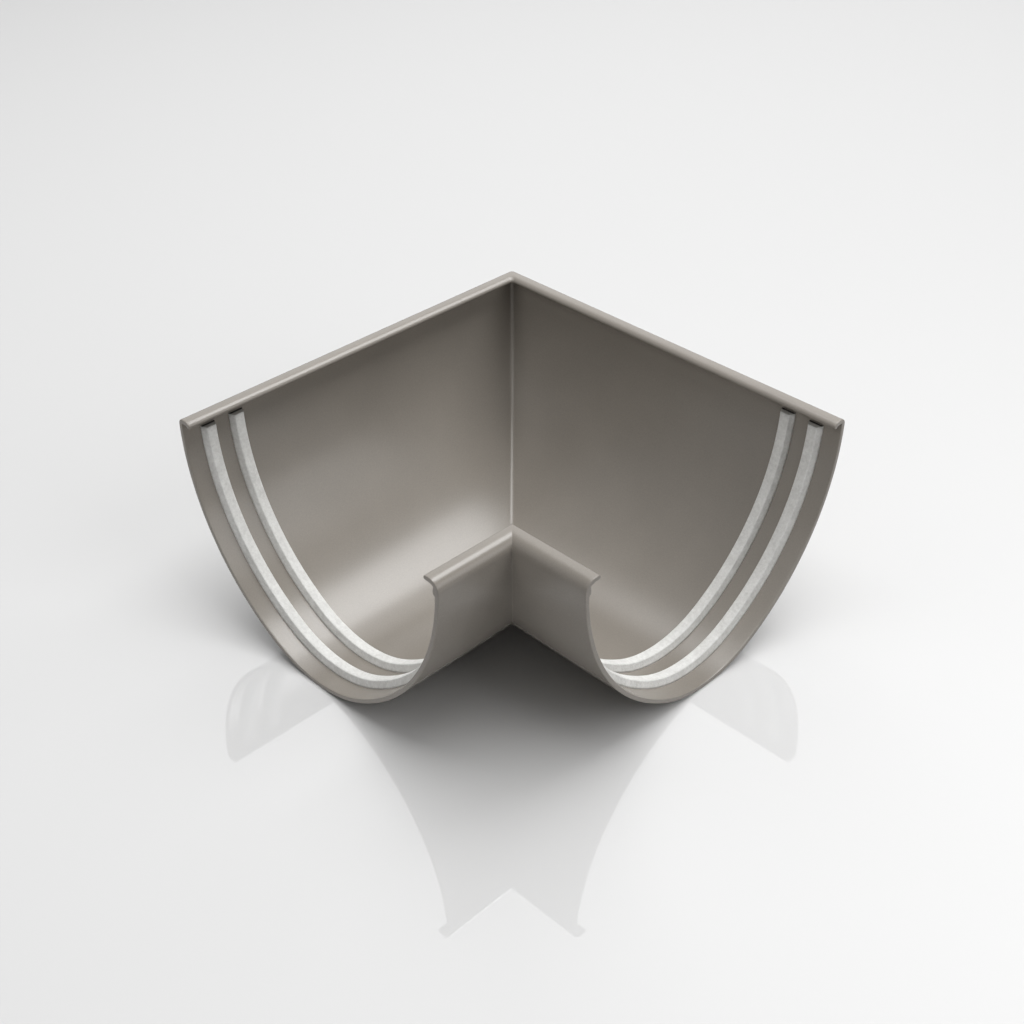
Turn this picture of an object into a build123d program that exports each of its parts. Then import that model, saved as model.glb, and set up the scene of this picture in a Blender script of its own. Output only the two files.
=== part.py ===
"""Inside corner for a deep half-round gutter: a mitred trough with a seal pair at each open end.

The corner lies rim up. One leg runs along +X, the other along -Y, and the outer corner stands at
-X, +Y. The origin is on the ground plane, under the middle of the bounding box, so the mitre is the
vertical plane through the origin between the two legs. Lengths are in millimetres.
"""

import os
from math import asin, atan2, degrees

from build123d import *

# Trough section, measured on its outer face
trough_width = 132.0
trough_depth = 78.0
bottom_radius = 48.0
wall = 1.7
upstand = 0.7

# The outer walls end in a hook: a bend, a flat top and a nose that turns down. Bends are measured inside.
hook_bend = 0.4
hook_flat = 1.45
nose_bend = 1.5
nose_turn = 45.0

# The inner walls end in a lip that turns in over the trough, with a bead below it to hold a gutter's edge
lip_width = 6.6
lip_bend = 2.6
bead_width = 3.5
bead_stand = 0.8
bead_below_rim = 3.9

# Seal strips, bonded round the inside of the trough, two to a leg. Their sides slope in to a narrower face.
seal_face = 4.05
seal_slope = 0.95
seal_thickness = 2.7
seal_margin = 7.15
seal_spacing = 11.95
seal_below_bead = 0.15
seal_to_mitre = 5.95

# The sides are arcs that leave the straight upstand without a kink and meet the bottom arc tangentially
half_width = trough_width / 2
side_radius = (half_width**2 + trough_depth**2 - 2 * trough_depth * bottom_radius) / (
    2 * (half_width - bottom_radius)
)
side_angle = degrees(atan2(trough_depth - bottom_radius, side_radius - half_width))

# Both rims end at one height: the hook bends above the upstand, the lip straight out of the inner side
hook_radius = hook_bend + wall
nose_radius = nose_bend + wall
lip_radius = lip_bend + wall
bend_height = trough_depth + upstand
rim_height = bend_height + hook_radius
lip_angle = degrees(asin((trough_depth + lip_radius - rim_height) / (side_radius - lip_radius)))

# The bead stands on the inner wall under the lip, and the seals are cut off level below it
bead_height = rim_height - bead_below_rim
seal_top = bead_height - bead_width / 2 - seal_below_bead
seal_width = seal_face + 2 * seal_slope
seal_side_angle = degrees(atan2(seal_thickness, seal_slope))

# Each inner wall is long enough for its two seals, and each outer wall is longer by the trough's width
inner_length = seal_margin + seal_spacing + seal_width + seal_to_mitre
leg_length = trough_width + inner_length

# The section stands on the open end of the X leg and looks along the leg towards the corner
half_length = leg_length / 2
leg_end = Plane(origin=(half_length, half_length, 0), x_dir=(0, -1, 0), z_dir=(-1, 0, 0))
mitre = Plane(origin=(0, 0, 0), x_dir=(1, -1, 0), z_dir=(1, 1, 0))

UP = (0, 1)
DOWN = (0, -1)


def trough_run(inset):
    """Draw the trough at a depth below its outer face, from the hook to the lip. Returns its last arc."""
    outer_wall = Line((inset, bend_height), (inset, trough_depth))
    outer_side = JernArc(outer_wall @ 1, DOWN, side_radius - inset, side_angle)
    bottom = JernArc(outer_side @ 1, outer_side % 1, bottom_radius - inset, 180 - 2 * side_angle)
    return JernArc(bottom @ 1, bottom % 1, side_radius - inset, side_angle - lip_angle)


def hook_run(inset):
    """Draw the hook at a depth below its outer face, on from the outer wall. Returns its nose."""
    back = JernArc((inset, bend_height), UP, hook_radius - inset, -90)
    hook_top = Line(back @ 1, (hook_radius + hook_flat, rim_height - inset))
    return JernArc(hook_top @ 1, hook_top % 1, nose_radius - inset, -nose_turn)


def lip_run(inner_side, inset):
    """Draw the lip at a depth below its outer face, on from the inner side. Returns its flat."""
    bend = JernArc(inner_side @ 1, inner_side % 1, lip_radius - inset, 90 + lip_angle)
    return Line(bend @ 1, (trough_width - lip_width + wall / 2, rim_height - inset))


# Corner: a sheet of even thickness and its bead, extruded along the X leg, mitred and mirrored into the Y leg
with BuildPart() as corner:
    with BuildSketch(leg_end):
        with BuildLine():
            for inset in (wall, 0):
                nose = hook_run(inset)
                lip_flat = lip_run(trough_run(inset), inset)
            JernArc(nose @ 1, nose % 1, wall / 2, -180)
            JernArc(lip_flat @ 1, lip_flat % 1, wall / 2, 180)
        make_face()
        with Locations((trough_width - wall, bead_height)):
            Ellipse(bead_stand, bead_width / 2)
    extrude(amount=leg_length)
    split(bisect_by=mitre)
    mirror(about=mitre)

# Seals: two strips in each leg, swept round the inside of the trough and cut off level at both ends
x_seals = {}
for place, start in (("end", seal_margin), ("inner", seal_margin + seal_spacing)):
    with BuildPart() as seal:
        with BuildLine(leg_end.offset(start + seal_width / 2)) as seat:
            trough_run(wall)
        with BuildSketch(Plane(origin=seat.line @ 0, x_dir=(1, 0, 0), z_dir=seat.line % 0)):
            Trapezoid(seal_width, seal_thickness, seal_side_angle, align=(Align.CENTER, Align.MIN))
        sweep()
        split(bisect_by=Plane.XY.offset(seal_top), keep=Keep.BOTTOM)
    x_seals[place] = seal.part

os.makedirs("parts", exist_ok=True)

corner.part.label = "corner"
export_step(corner.part, "parts/corner.step")

for place, x_seal in x_seals.items():
    x_seal.label = f"seal_x_{place}"
    export_step(x_seal, f"parts/{x_seal.label}.step")
    with BuildPart() as y_seal:
        mirror(x_seal, about=mitre)
    y_seal.part.label = f"seal_y_{place}"
    export_step(y_seal.part, f"parts/{y_seal.part.label}.step")
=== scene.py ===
"""Looks of the gutter corner: the moulded trough, its four seal strips, and the studio round them.

Lengths are in metres. The corner lies rim up on the floor. The X leg runs along +X and the Y leg along -Y,
and the two mirror each other in the mitre, the vertical plane where x = -y.
"""

from math import cos, pi, radians, sin, sqrt

import bpy
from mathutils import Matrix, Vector


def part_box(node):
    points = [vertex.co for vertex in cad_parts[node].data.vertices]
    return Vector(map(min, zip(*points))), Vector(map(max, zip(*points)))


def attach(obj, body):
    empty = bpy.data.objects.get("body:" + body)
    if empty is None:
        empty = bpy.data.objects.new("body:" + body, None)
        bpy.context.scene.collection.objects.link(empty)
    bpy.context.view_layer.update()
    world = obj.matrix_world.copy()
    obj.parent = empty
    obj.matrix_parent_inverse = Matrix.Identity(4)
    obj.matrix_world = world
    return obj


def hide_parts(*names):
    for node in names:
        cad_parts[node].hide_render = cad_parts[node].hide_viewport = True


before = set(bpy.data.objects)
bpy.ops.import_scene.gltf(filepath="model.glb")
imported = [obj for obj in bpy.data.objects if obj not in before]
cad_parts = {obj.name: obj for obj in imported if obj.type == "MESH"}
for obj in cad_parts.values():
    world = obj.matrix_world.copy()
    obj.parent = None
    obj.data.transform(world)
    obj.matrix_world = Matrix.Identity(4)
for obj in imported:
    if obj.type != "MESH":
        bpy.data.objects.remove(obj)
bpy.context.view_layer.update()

# Trough section, measured on its outer face
TROUGH = {
    "Trough Width": 0.132,
    "Trough Depth": 0.078,
    "Bottom Radius": 0.048,
    "Wall": 0.0017,
}

# Rims: the hook of the outer walls, and the lip of the inner walls with the bead below it
RIMS = {
    "Upstand": 0.0007,
    "Hook Bend": 0.0004,
    "Hook Flat": 0.00145,
    "Nose Bend": 0.0015,
    "Nose Turn": radians(45),
    "Lip Width": 0.0066,
    "Lip Bend": 0.0026,
    "Bead Width": 0.0035,
    "Bead Stand": 0.0008,
    "Bead Below Rim": 0.0039,
}

# Small rounds of the moulding: down the mitre of the outer and the inner walls, and round the open ends
ROUNDS = {
    "Outer Mitre Round": 0.0013,
    "Inner Mitre Round": 0.00015,
    "End Round": 0.0003,
}

# Seal strips: how far they stand off the wall, how far their sides lean in, and the round of their edges
SEALS = {
    "Seal Thickness": 0.0027,
    "Seal Slope": 0.00095,
    "Seal Edge": 0.0005,
}

# The open ends stop this much inside the CAD's, so that no rounding takes them past it
END_INSET = 0.000002

lowest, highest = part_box("corner")
LEG = {"Leg Length": highest.x - lowest.x}
MOULDING = {**TROUGH, **RIMS, **ROUNDS, **LEG}


class Wire:
    """A socket that takes part in arithmetic: each operator adds the Math node that does it."""

    def __init__(self, bench, socket):
        self.bench = bench
        self.socket = socket

    def __getitem__(self, name):
        return Wire(self.bench, self.socket.node.outputs[name])

    def math(self, operation, *terms, clamp=False):
        settings = {"operation": operation, "use_clamp": clamp}
        return self.bench.node("ShaderNodeMath", settings, dict(enumerate(terms)))

    def __add__(self, other):
        return self.math("ADD", self, other)

    def __sub__(self, other):
        return self.math("SUBTRACT", self, other)

    def __rsub__(self, other):
        return self.math("SUBTRACT", other, self)

    def __mul__(self, other):
        return self.math("MULTIPLY", self, other)

    def __truediv__(self, other):
        return self.math("DIVIDE", self, other)

    def __pow__(self, other):
        return self.math("POWER", self, other)

    def __abs__(self):
        return self.math("ABSOLUTE", self)

    __radd__ = __add__
    __rmul__ = __mul__

    def sine(self):
        return self.math("SINE", self)

    def cosine(self):
        return self.math("COSINE", self)

    def below(self, limit):
        return self.math("LESS_THAN", self, limit)

    def above(self, limit):
        return self.math("GREATER_THAN", self, limit)

    def at_least(self, limit):
        return self.math("MAXIMUM", self, limit)

    def clamped(self):
        return self.math("ADD", self, 0.0, clamp=True)


class Bench:
    """A node tree being put together."""

    def __init__(self, tree):
        self.tree = tree
        tree.nodes.clear()

    def node(self, kind, settings=None, values=None):
        """Add a node with these settings and socket values or links. Returns its first output."""
        node = self.tree.nodes.new(kind)
        for name, setting in (settings or {}).items():
            setattr(node, name, setting)
        for name, value in (values or {}).items():
            socket = self.find_socket(node, name)
            if isinstance(value, Wire):
                self.tree.links.new(value.socket, socket)
            else:
                socket.default_value = value
        outputs = [socket for socket in node.outputs if socket.enabled]
        return Wire(self, outputs[0]) if outputs else None

    @staticmethod
    def find_socket(node, name):
        if isinstance(name, int):
            return node.inputs[name]
        return next(socket for socket in node.inputs if socket.name == name and socket.enabled)


# Shapes: each piece is a block of faces that Geometry Nodes bend round the section and along the legs


def start_tree(name, sizes):
    """Start a Geometry Nodes tree with a named input for each size. Returns its bench and the inputs."""
    tree = bpy.data.node_groups.new(name, "GeometryNodeTree")
    tree.interface.new_socket("Geometry", in_out="OUTPUT", socket_type="NodeSocketGeometry")
    for size in sizes:
        tree.interface.new_socket(size, in_out="INPUT", socket_type="NodeSocketFloat")
    bench = Bench(tree)
    bench.node("NodeGroupInput")
    outputs = tree.nodes[0].outputs
    return bench, {size: Wire(bench, outputs[size]) for size in sizes}


def block_of_faces(bench, steps_along, rows, layers):
    """Add a closed block whose points count steps, rows from the middle, and layers from -1 to 1."""
    block = bench.node(
        "GeometryNodeMeshCube",
        {},
        {
            "Size": (steps_along, 2 * rows, 2),
            "Vertices X": steps_along + 1,
            "Vertices Y": 2 * rows + 1,
            "Vertices Z": layers + 1,
        },
    )
    count = bench.node("ShaderNodeSeparateXYZ", {}, {0: bench.node("GeometryNodeInputPosition")})
    return block, count["X"] + steps_along / 2, count["Y"], count["Z"]


class Pen:
    """Draws a section line of straight runs and left bends, as far as each point's step has come."""

    def __init__(self, step, across, height, heading):
        self.step = step
        self.across = across
        self.height = height
        self.heading = heading

    def share(self, steps):
        """How far each point is through the next run, from 0 to 1."""
        share = (self.step / steps).clamped()
        self.step = self.step - steps
        return share

    def straight(self, length, steps):
        run = self.share(steps) * length
        self.across = self.across + run * self.heading.cosine()
        self.height = self.height + run * self.heading.sine()

    def bend(self, radius, angle, steps):
        turned = self.heading + self.share(steps) * angle
        self.across = self.across + radius * (turned.sine() - self.heading.sine())
        self.height = self.height + radius * (self.heading.cosine() - turned.cosine())
        self.heading = turned


def trough_arcs(size):
    """Radius and angle of the trough's sides, which meet the bottom arc without a kink."""
    half = size["Trough Width"] * 0.5
    depth = size["Trough Depth"]
    bottom = size["Bottom Radius"]
    radius = (half * half + depth * depth - 2 * depth * bottom) / (2 * (half - bottom))
    angle = half.math("ARCTAN2", depth - bottom, radius - half)
    return radius, angle


def place_points(bench, block, along, inward, height, mirrored):
    """Put the block's points in the X leg, and mirror those that belong to the Y leg."""
    x = along + mirrored * (-1 * inward - along)
    y = inward + mirrored * (-1 * along - inward)
    place = bench.node("ShaderNodeCombineXYZ", {}, {"X": x, "Y": y, "Z": height})
    return bench.node("GeometryNodeSetPosition", {}, {"Geometry": block, "Position": place})


def store_mark(bench, shape, domain, name, value):
    """Keep a value on each face or point, for the piece's material to read."""
    settings = {"domain": domain, "data_type": "FLOAT"}
    values = {"Geometry": shape, "Name": name, "Value": value}
    return bench.node("GeometryNodeStoreNamedAttribute", settings, values)


def finish_tree(bench, shape, material, is_smooth=True):
    """End a tree: smooth faces, real geometry and the piece's material."""
    smooth = bench.node(
        "GeometryNodeSetShadeSmooth", {"domain": "FACE"}, {"Geometry": shape, "Shade Smooth": is_smooth}
    )
    real = bench.node("GeometryNodeRealizeInstances", {}, {"Geometry": smooth})
    dressed = bench.node("GeometryNodeSetMaterial", {}, {"Geometry": real, "Material": material})
    bench.node("NodeGroupOutput", {}, {"Geometry": dressed})
    return bench.tree


def trough_tree(material):
    """The moulding: one sheet of even thickness, from the hook's tip to the lip's tip, round the mitre."""
    bench, size = start_tree("Mitred trough", MOULDING)
    rim_steps, flat_steps, upstand_steps = 10, 4, 1
    side_steps, bottom_steps, bead_steps = 36, 26, 16
    trough_steps = upstand_steps + 2 * side_steps + bottom_steps + bead_steps
    steps_along = 3 * rim_steps + 2 * flat_steps + trough_steps
    mitre_rows, leg_rows, end_rows = 4, 22, 4
    block, step, row, layer = block_of_faces(
        bench, steps_along, mitre_rows + leg_rows + end_rows, layers=6
    )

    # Rows from the mitre: round the corner, along the leg, and over the edge of the open end
    rows = abs(row)
    corner_turn = (1 - rows / mitre_rows).clamped() * radians(45)
    leg_share = ((rows - mitre_rows) / leg_rows).clamped()
    end_turn = ((rows - mitre_rows - leg_rows) / end_rows).clamped() * radians(90)
    edge = size["End Round"]
    half_wall = size["Wall"] * 0.5 - edge * (1 - end_turn.cosine())

    # The bends of the rims, and the angle at which the lip's bend leaves the inner side
    side_radius, side_angle = trough_arcs(size)
    middle = size["Wall"] * 0.5
    hook_radius = size["Hook Bend"] + size["Wall"]
    nose_radius = size["Nose Bend"] + size["Wall"]
    lip_radius = size["Lip Bend"] + size["Wall"]
    rim_height = size["Trough Depth"] + size["Upstand"] + hook_radius
    lip_drop = size["Trough Depth"] + lip_radius - rim_height
    lip_angle = lip_drop.math("ARCSINE", lip_drop / (side_radius - lip_radius))
    lip_bend_across = size["Trough Width"] - side_radius + (side_radius - lip_radius) * lip_angle.cosine()
    lip_tip_across = size["Trough Width"] - size["Lip Width"] + middle

    # Below the lip, the inner side has finer steps over a stretch somewhat longer than the bead is wide
    bead_stretch = 1.6 * size["Bead Width"]
    bead_angle = bead_stretch / side_radius

    # The middle of the sheet, drawn from the hook's tip
    turn = size["Nose Turn"]
    pen = Pen(
        step,
        across=hook_radius + size["Hook Flat"] + (nose_radius - middle) * turn.sine(),
        height=rim_height - nose_radius + (nose_radius - middle) * turn.cosine(),
        heading=pi - turn,
    )
    pen.bend(nose_radius - middle, turn, rim_steps)
    pen.straight(size["Hook Flat"], flat_steps)
    pen.bend(hook_radius - middle, radians(90), rim_steps)
    pen.straight(size["Upstand"], upstand_steps)
    pen.bend(side_radius - middle, side_angle, side_steps)
    pen.bend(size["Bottom Radius"] - middle, pi - 2 * side_angle, bottom_steps)
    pen.bend(side_radius - middle, side_angle - lip_angle - bead_angle, side_steps)
    pen.bend(side_radius - middle, bead_angle, bead_steps)
    pen.bend(lip_radius - middle, radians(90) + lip_angle, rim_steps)
    pen.straight(lip_bend_across - lip_tip_across, flat_steps)

    # Both faces of the sheet, and the round tips of the hook and the lip
    through = layer * radians(90)
    outwards = half_wall * through.sine()
    at_lip_tip = (step - steps_along + 1).clamped()
    at_hook_tip = (1 - step).clamped()
    onwards = half_wall * through.cosine() * (at_lip_tip - at_hook_tip)
    across = pen.across + outwards * pen.heading.sine() + onwards * pen.heading.cosine()
    height = pen.height - outwards * pen.heading.cosine() + onwards * pen.heading.sine()

    # The bead stands on the inner wall's inner face, under the lip
    bead_height = rim_height - size["Bead Below Rim"]
    off_bead = (height - bead_height) / (size["Bead Width"] * 0.5)
    bead = size["Bead Stand"] * (1 - off_bead * off_bead).clamped() ** 0.5
    behind_bead = (across - (size["Trough Width"] - size["Wall"] - bead)).at_least(0.0)
    on_inner_face = (0.5 - 0.5 * through.sine()) * step.above(steps_along / 2)
    across = across - behind_bead * on_inner_face

    # Along the leg, rows crowd towards the mitre and towards the open end
    half_leg = size["Leg Length"] * 0.5
    wall_line = half_leg - across
    inner_share = (across / size["Trough Width"]).clamped()
    rounding = size["Outer Mitre Round"] * (1 - inner_share) + size["Inner Mitre Round"] * inner_share
    leg_start = -1 * wall_line + rounding
    leg_reach = (1 - (leg_share * pi).cosine()) * 0.5
    along = (
        leg_start
        - rounding * corner_turn.sine()
        + leg_reach * (half_leg - END_INSET - edge - leg_start)
        + edge * end_turn.sine()
    )
    inward = wall_line - rounding * (1 - corner_turn.cosine())
    shape = place_points(bench, block, along, inward, height, row.below(0))
    return finish_tree(bench, shape, material)


def seal_tree(material):
    """A seal strip: a soft bar that lies round the inside of one leg, cut off level at both ends."""
    places = ["Seal Start", "Seal End", "Seal Top", "Y Leg"]
    bench, size = start_tree("Seal strip", [*TROUGH, *SEALS, *LEG, *places])
    side_steps, bottom_steps = 48, 32
    face_rows, edge_rows = 3, 3
    steps_along = 2 * side_steps + bottom_steps
    block, step, row, layer = block_of_faces(bench, steps_along, face_rows + edge_rows, layers=4)

    # Marks for the finish, which paints shade on the cut ends from them: the cut ends, within part of a step,
    # and how far each point stands off the wall
    part_step = 0.25
    cut_end = step.below(part_step) + step.above(steps_along - part_step)
    stand_share = layer * 0.5 + 0.5
    block = store_mark(bench, block, "FACE", "cut_end", cut_end)
    block = store_mark(bench, block, "POINT", "stand_share", stand_share)

    # Across the strip: a flat face whose edges round off, and sides that slope out to the wall
    rows = abs(row)
    edge = size["Seal Edge"]
    half_strip = (size["Seal End"] - size["Seal Start"]) * 0.5
    half_face = half_strip - size["Seal Slope"] * stand_share
    edge_turn = ((rows - face_rows) / edge_rows).clamped() * radians(90)
    off_middle = (rows / face_rows).clamped() * (half_face - edge) + edge * edge_turn.sine()
    side = row.math("SIGN", row)
    along = size["Seal Start"] + half_strip + side * off_middle
    stand = size["Seal Thickness"] - edge * (1 - edge_turn.cosine())
    depth = size["Wall"] + stand * stand_share

    # Round the trough at that depth below its outer face, between the two level ends
    side_radius, side_angle = trough_arcs(size)
    radius = side_radius - depth
    level = radius.math("ARCSINE", (size["Trough Depth"] - size["Seal Top"]) / radius)
    pen = Pen(
        step,
        across=side_radius - radius * level.cosine(),
        height=size["Seal Top"],
        heading=level + radians(270),
    )
    pen.bend(radius, side_angle - level, side_steps)
    pen.bend(size["Bottom Radius"] - depth, pi - 2 * side_angle, bottom_steps)
    pen.bend(radius, side_angle - level, side_steps)
    inward = size["Leg Length"] * 0.5 - pen.across
    shape = place_points(bench, block, along, inward, pen.height, size["Y Leg"])
    cut_mark = bench.node("GeometryNodeInputNamedAttribute", {"data_type": "FLOAT"}, {"Name": "cut_end"})
    return finish_tree(bench, shape, material, is_smooth=cut_mark.below(0.5))


def build_piece(name, tree, values):
    """Run a tree once with these input values and keep the result as a plain mesh at the origin."""
    maker = bpy.data.objects.new(name + "_maker", bpy.data.meshes.new(name + "_maker"))
    bpy.context.scene.collection.objects.link(maker)
    modifier = maker.modifiers.new("Shape", "NODES")
    modifier.node_group = tree
    for socket in tree.interface.items_tree:
        if socket.in_out == "INPUT":
            modifier[socket.identifier] = float(values[socket.name])
    evaluated = maker.evaluated_get(bpy.context.evaluated_depsgraph_get())
    mesh = bpy.data.meshes.new_from_object(evaluated)
    mesh.name = name
    maker.modifiers.remove(modifier)
    bpy.data.objects.remove(maker)
    piece = bpy.data.objects.new(name, mesh)
    bpy.context.scene.collection.objects.link(piece)
    return piece


# Materials


def start_material(name):
    """Start a material. Returns it, its bench and the position on the piece."""
    material = bpy.data.materials.new(name)
    material.use_nodes = True
    bench = Bench(material.node_tree)
    return material, bench, bench.node("ShaderNodeTexCoord")["Object"]


def noise(bench, place, scale, detail, roughness=0.5):
    values = {"Vector": place, "Scale": scale, "Detail": detail, "Roughness": roughness}
    return bench.node("ShaderNodeTexNoise", {}, values)


def mix_colours(bench, factor, first, second):
    settings = {"data_type": "RGBA", "clamp_factor": True}
    return bench.node("ShaderNodeMix", settings, {"Factor": factor, "A": first, "B": second})


def relief(bench, height, strength, distance):
    values = {"Strength": strength, "Distance": distance, "Height": height}
    return bench.node("ShaderNodeBump", {}, values)


def finish_surface(bench, colour, roughness, normal):
    """End a piece's material with the look of its surface."""
    values = {"Base Color": colour, "Roughness": roughness, "Normal": normal}
    shader = bench.node("ShaderNodeBsdfPrincipled", {}, values)
    bench.node("ShaderNodeOutputMaterial", {}, {"Surface": shader})


def moulded_plastic():
    """Satin taupe-grey plastic: soft clouds in its colour, fine specks, and a faint moulded grain."""
    dark_taupe = (0.218, 0.198, 0.173, 1)
    pale_taupe = (0.262, 0.238, 0.207, 1)
    material, bench, place = start_material("Satin taupe plastic")
    cloud = noise(bench, place, scale=28, detail=3)
    specks = noise(bench, place, scale=2200, detail=1)
    grain = noise(bench, place, scale=1300, detail=3, roughness=0.6)
    tone = (0.5 + 1.2 * (cloud - 0.5) + 1.0 * (specks - 0.5)).clamped()
    colour = mix_colours(bench, tone, dark_taupe, pale_taupe)
    satin = 0.21 + 0.04 * cloud + 0.04 * grain
    finish_surface(bench, colour, satin, relief(bench, grain, strength=0.06, distance=0.0001))
    return material


def seal_foam():
    """Matt white foam strip with a fibrous face. Its cut ends, white foam in the hook's shade, carry painted
    shade: a near-black painted shadow against the wall and a paler painted half shade in front.
    """
    shaded_white = (0.57, 0.565, 0.545, 1)
    clean_white = (0.82, 0.82, 0.8, 1)
    painted_shadow_at_wall = (0.012, 0.011, 0.01, 1)
    painted_shade_cut_end = (0.5, 0.49, 0.47, 1)
    material, bench, place = start_material("White seal strip")
    fibres = noise(bench, place, scale=900, detail=4, roughness=0.7)
    patches = noise(bench, place, scale=240, detail=2)
    tone = (0.5 + 1.5 * (fibres - 0.5) + 0.8 * (patches - 0.5)).clamped()
    face = mix_colours(bench, tone, shaded_white, clean_white)

    # Painted shadow on the cut ends: darkest up to 0.24 of the strip's thickness from the wall and gone at
    # 0.44. Past that the cut end is white foam painted at about half shade.
    stand = bench.node("ShaderNodeAttribute", {"attribute_name": "stand_share"})["Fac"]
    cut = mix_colours(bench, 5.0 * stand - 1.2, painted_shadow_at_wall, painted_shade_cut_end)
    cut_end = bench.node("ShaderNodeAttribute", {"attribute_name": "cut_end"})["Fac"]
    colour = mix_colours(bench, cut_end, face, cut)
    matt = 0.82 + 0.1 * patches
    finish_surface(bench, colour, matt, relief(bench, fibres + 0.4 * patches, strength=0.6, distance=0.0003))
    return material


# The object

plastic = moulded_plastic()
foam = seal_foam()

trough = build_piece("trough", trough_tree(plastic), MOULDING)
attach(trough, "root")
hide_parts("corner")
pieces = [trough]

strip_tree = seal_tree(foam)
for place in ("end", "inner"):
    seal_low, seal_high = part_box(f"seal_x_{place}")
    for leg in ("x", "y"):
        sizes = {
            **TROUGH,
            **SEALS,
            **LEG,
            "Seal Start": seal_low.x,
            "Seal End": seal_high.x,
            "Seal Top": seal_high.z,
            "Y Leg": leg == "y",
        }
        strip = build_piece(f"strip_{leg}_{place}", strip_tree, sizes)
        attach(strip, "root")
        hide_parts(f"seal_{leg}_{place}")
        pieces.append(strip)

# The studio. Directions in plan: the way the camera looks, and to its right

forward = Vector((-sqrt(0.5), sqrt(0.5), 0))
rightward = Vector((sqrt(0.5), sqrt(0.5), 0))
WHITE = (1, 1, 1, 1)

# The floor reaches past all that the camera sees, and fades away between two distances from its middle
FLOOR_REACH = 1.5
FLOOR_MIDDLE = (-0.2, 0.2, 0)
FADE_START = 0.62
FADE_END = 0.95
FLOOR_GREY = (0.65, 0.65, 0.65, 1)
MIRROR_SHARE = 0.08
MIRROR_ROUGHNESS = 0.02


def glossy_floor():
    """White studio floor with a clear, weak mirror image. It fades away past what the camera sees."""
    material, bench, place = start_material("Glossy white floor")
    matt = bench.node("ShaderNodeBsdfDiffuse", {}, {"Color": FLOOR_GREY})
    gloss = bench.node("ShaderNodeBsdfGlossy", {}, {"Color": WHITE, "Roughness": MIRROR_ROUGHNESS})
    sheen = bench.node("ShaderNodeMixShader", {}, {0: MIRROR_SHARE, 1: matt, 2: gloss})
    off_middle = bench.node("ShaderNodeVectorMath", {"operation": "DISTANCE"}, {0: place, 1: FLOOR_MIDDLE})
    gone = ((off_middle - FADE_START) / (FADE_END - FADE_START)).clamped()
    clear = bench.node("ShaderNodeBsdfTransparent")
    shader = bench.node("ShaderNodeMixShader", {}, {0: gone * gone * (3 - 2 * gone), 1: sheen, 2: clear})
    bench.node("ShaderNodeOutputMaterial", {}, {"Surface": shader})
    return material


floor_mesh = bpy.data.meshes.new("floor")
floor_corners = [(x * FLOOR_REACH, y * FLOOR_REACH, 0) for x, y in ((-1, -1), (1, -1), (1, 1), (-1, 1))]
floor_mesh.from_pydata(floor_corners, [], [(0, 1, 2, 3)])
floor = bpy.data.objects.new("floor", floor_mesh)
bpy.context.scene.collection.objects.link(floor)
floor.data.materials.append(glossy_floor())

# Softboxes, each with its turn to the right from the camera's side and its rise above the floor, in degrees,
# then its distance, its width and its power
SOFTBOXES = {
    "key": (131, 57.5, 1.2, 0.66, 8.4),
    "overhead": (150, 84, 1.5, 1.3, 14.5),
    "fill_left": (315, 42, 1.4, 0.9, 4.2),
    "fill_right": (62, 26, 1.4, 0.8, 4.0),
    "back": (180, 40, 1.4, 0.8, 0.9),
}

# The floor has softboxes of its own, which the pieces and the mirror image don't show
FLOOR_SOFTBOXES = {
    "floor_key": (131, 57.5, 1.2, 0.66, 1.8),
    "floor_overhead": (150, 84, 1.5, 1.3, 19.6),
    "floor_back": (180, 40, 1.4, 0.8, 3.7),
    "floor_left": (270, 35, 1.4, 1.2, 2.6),
    "floor_front": (0, 50, 1.4, 1.2, 1.5),
    "floor_right": (135, 16, 1.4, 1.0, 3.2),
    "floor_corner": (55, 37, 0.55, 0.4, 1.1),
}
SOFTBOX_AIM = Vector((-0.01, 0.01, 0.04))


def aim(thing, place, target):
    """Put a lamp or the camera in its place and turn it to its target."""
    thing.location = place
    thing.rotation_euler = (Vector(target) - Vector(place)).to_track_quat("-Z", "Y").to_euler()


def add_softbox(name, receivers, mirrored, turn, rise, distance, width, power):
    """Hang a square lamp that lights only its receivers, and shows in mirror images or not."""
    level = sin(radians(turn)) * rightward - cos(radians(turn)) * forward
    direction = cos(radians(rise)) * level + Vector((0, 0, sin(radians(rise))))
    light = bpy.data.lights.new(name, "AREA")
    light.size = width
    light.energy = power
    lamp = bpy.data.objects.new(name, light)
    bpy.context.scene.collection.objects.link(lamp)
    lamp.light_linking.receiver_collection = receivers
    lamp.visible_glossy = mirrored
    aim(lamp, SOFTBOX_AIM + distance * direction, SOFTBOX_AIM)


lit_pieces = bpy.data.collections.new("lit_pieces")
lit_stage = bpy.data.collections.new("lit_stage")
for piece in pieces:
    lit_pieces.objects.link(piece)
lit_stage.objects.link(floor)
for name, settings in SOFTBOXES.items():
    add_softbox(name, lit_pieces, True, *settings)
for name, settings in FLOOR_SOFTBOXES.items():
    add_softbox(name, lit_stage, False, *settings)

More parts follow.
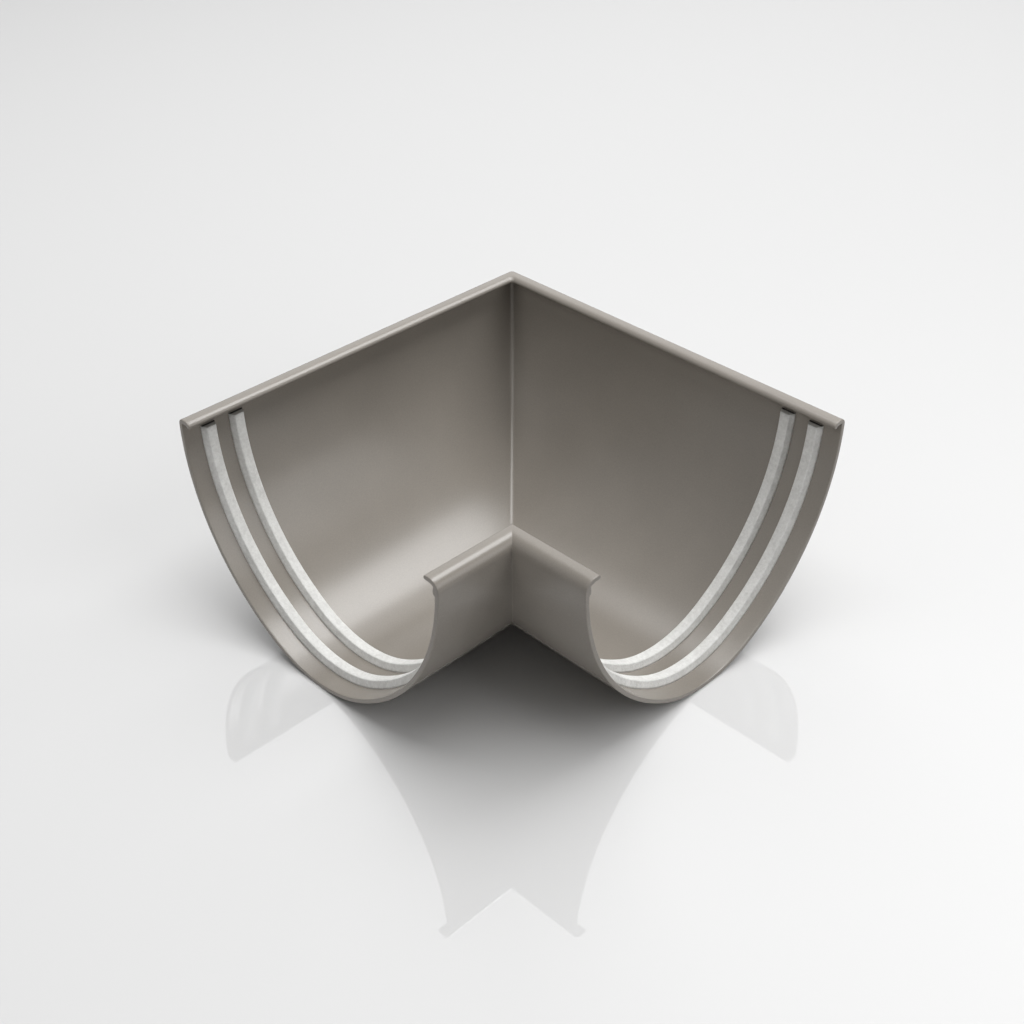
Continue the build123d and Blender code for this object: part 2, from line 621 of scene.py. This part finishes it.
# The room: a little fill, white past the floor, a pale glow in reflections, and in them a brighter backdrop,
# which lies in front of the camera and fades between two angles from its middle
ROOM_FILL = 0.08
WHITE_PAST_FLOOR = 0.8
REFLECTED_GLOW = 0.48
REFLECTED_BACKDROP = 0.82
BACKDROP_RISE = radians(35)
BACKDROP_FULL = cos(radians(24))
BACKDROP_GONE = cos(radians(42))
backdrop = forward * cos(BACKDROP_RISE) + Vector((0, 0, sin(BACKDROP_RISE)))
world = bpy.data.worlds.new("Studio")
bpy.context.scene.world = world
world.use_nodes = True
room = Bench(world.node_tree)
direction = room.node("ShaderNodeTexCoord")["Generated"]
facing = room.node("ShaderNodeVectorMath", {"operation": "DOT_PRODUCT"}, {0: direction, 1: backdrop})
backdrop_share = ((facing - BACKDROP_GONE) / (BACKDROP_FULL - BACKDROP_GONE)).clamped()
rays = room.node("ShaderNodeLightPath")
reflected = REFLECTED_GLOW + REFLECTED_BACKDROP * backdrop_share
strength = ROOM_FILL + WHITE_PAST_FLOOR * rays["Is Camera Ray"] + rays["Is Glossy Ray"] * reflected
glow = room.node("ShaderNodeBackground", {}, {"Color": WHITE, "Strength": strength})
room.node("ShaderNodeOutputWorld", {}, {"Surface": glow})

# Camera, on the vertical plane of the mitre: its distance from the outer corner in plan, its height, its tilt
# below level, and its lens in millimetres
CAMERA_DISTANCE = 0.56835
CAMERA_HEIGHT = 0.36092
CAMERA_TILT = radians(35.225)
CAMERA_LENS = 54.14
CAMERA_SENSOR = 36.0
outer_corner = Vector((lowest.x, highest.y, 0))
camera_place = outer_corner - CAMERA_DISTANCE * forward + Vector((0, 0, CAMERA_HEIGHT))
line_of_sight = forward * cos(CAMERA_TILT) - Vector((0, 0, sin(CAMERA_TILT)))
camera = bpy.data.objects.new("camera", bpy.data.cameras.new("camera"))
bpy.context.scene.collection.objects.link(camera)
camera.data.lens = CAMERA_LENS
camera.data.sensor_width = CAMERA_SENSOR
camera.data.clip_start = 0.01
aim(camera, camera_place, camera_place + line_of_sight)
bpy.context.scene.camera = camera
bpy.context.scene.view_settings.view_transform = "Standard"
